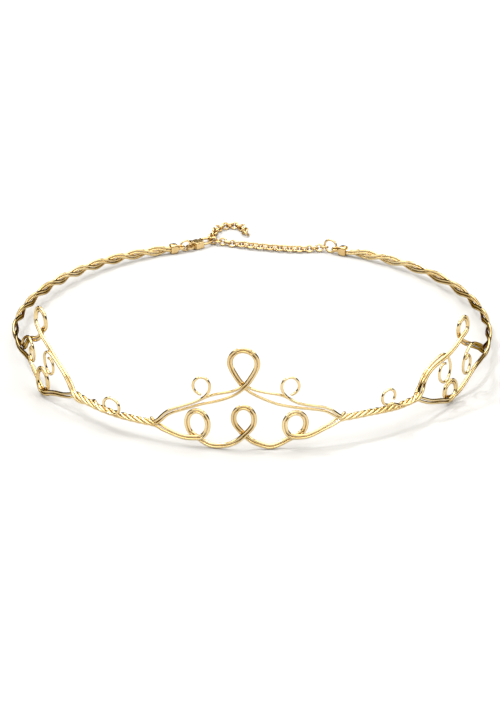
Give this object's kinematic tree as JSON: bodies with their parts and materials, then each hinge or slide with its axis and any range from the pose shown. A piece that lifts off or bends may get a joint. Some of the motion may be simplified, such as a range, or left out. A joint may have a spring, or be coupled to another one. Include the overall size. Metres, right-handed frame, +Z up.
{
  "type": "wire circlet",
  "caption": "Gold-coloured wire circlet with looped front and side motifs, twisted bands, and a lobster clasp with an extender chain.",
  "frame": {"origin": "centre of the band's plan on the table that the circlet stands on", "axes": "+Z up; the tall front motif is at -Y, the clasp and chain at +Y; +X is the viewer's right when facing the front"},
  "size_m": [0.1813, 0.2086, 0.0395],
  "materials": {
    "polished_gold": "polished gold plating",
    "brushed_gold": "softer gold plating of the crimps, clasp and chain"
  },
  "bodies": {
    "circlet": {"chain_main": "brushed_gold", "chain_tail": "brushed_gold", "clasp_body": "brushed_gold", "crimp_left": "brushed_gold", "crimp_right": "brushed_gold", "front_curl_left": "polished_gold", "front_curl_right": "polished_gold", "front_lower_a": "polished_gold", "front_lower_b": "polished_gold", "front_twist_left_lower_a": "polished_gold", "front_twist_left_lower_b": "polished_gold", "front_twist_left_upper_a": "polished_gold", "front_twist_left_upper_b": "polished_gold", "front_twist_right_lower_a": "polished_gold", "front_twist_right_lower_b": "polished_gold", "front_twist_right_upper_a": "polished_gold", "front_twist_right_upper_b": "polished_gold", "front_upper_a": "polished_gold", "front_upper_b": "polished_gold", "jump_ring_left": "brushed_gold", "jump_ring_right": "brushed_gold", "rear_twist_left_lower_a": "polished_gold", "rear_twist_left_lower_b": "polished_gold", "rear_twist_left_upper_a": "polished_gold", "rear_twist_left_upper_b": "polished_gold", "rear_twist_right_lower_a": "polished_gold", "rear_twist_right_lower_b": "polished_gold", "rear_twist_right_upper_a": "polished_gold", "rear_twist_right_upper_b": "polished_gold", "side_front_curl_left": "polished_gold", "side_front_curl_right": "polished_gold", "side_left_lower_a": "polished_gold", "side_left_lower_b": "polished_gold", "side_left_upper_a": "polished_gold", "side_left_upper_b": "polished_gold", "side_rear_curl_left": "polished_gold", "side_rear_curl_right": "polished_gold", "side_right_lower_a": "polished_gold", "side_right_lower_b": "polished_gold", "side_right_upper_a": "polished_gold", "side_right_upper_b": "polished_gold", "standing_curl_left": "polished_gold", "standing_curl_right": "polished_gold"},
    "lever": {"clasp_lever": "brushed_gold"}
  },
  "joints": [
    {"name": "lever_hinge", "type": "hinge", "parent": "circlet", "child": "lever", "pos_m": [-0.02535, 0.09297, 0.0016], "axis": [0, 0, 1], "range_deg": [-20, 0], "stiffness_Nm_per_rad": 0.002, "springref_deg": 28.65}
  ]
}
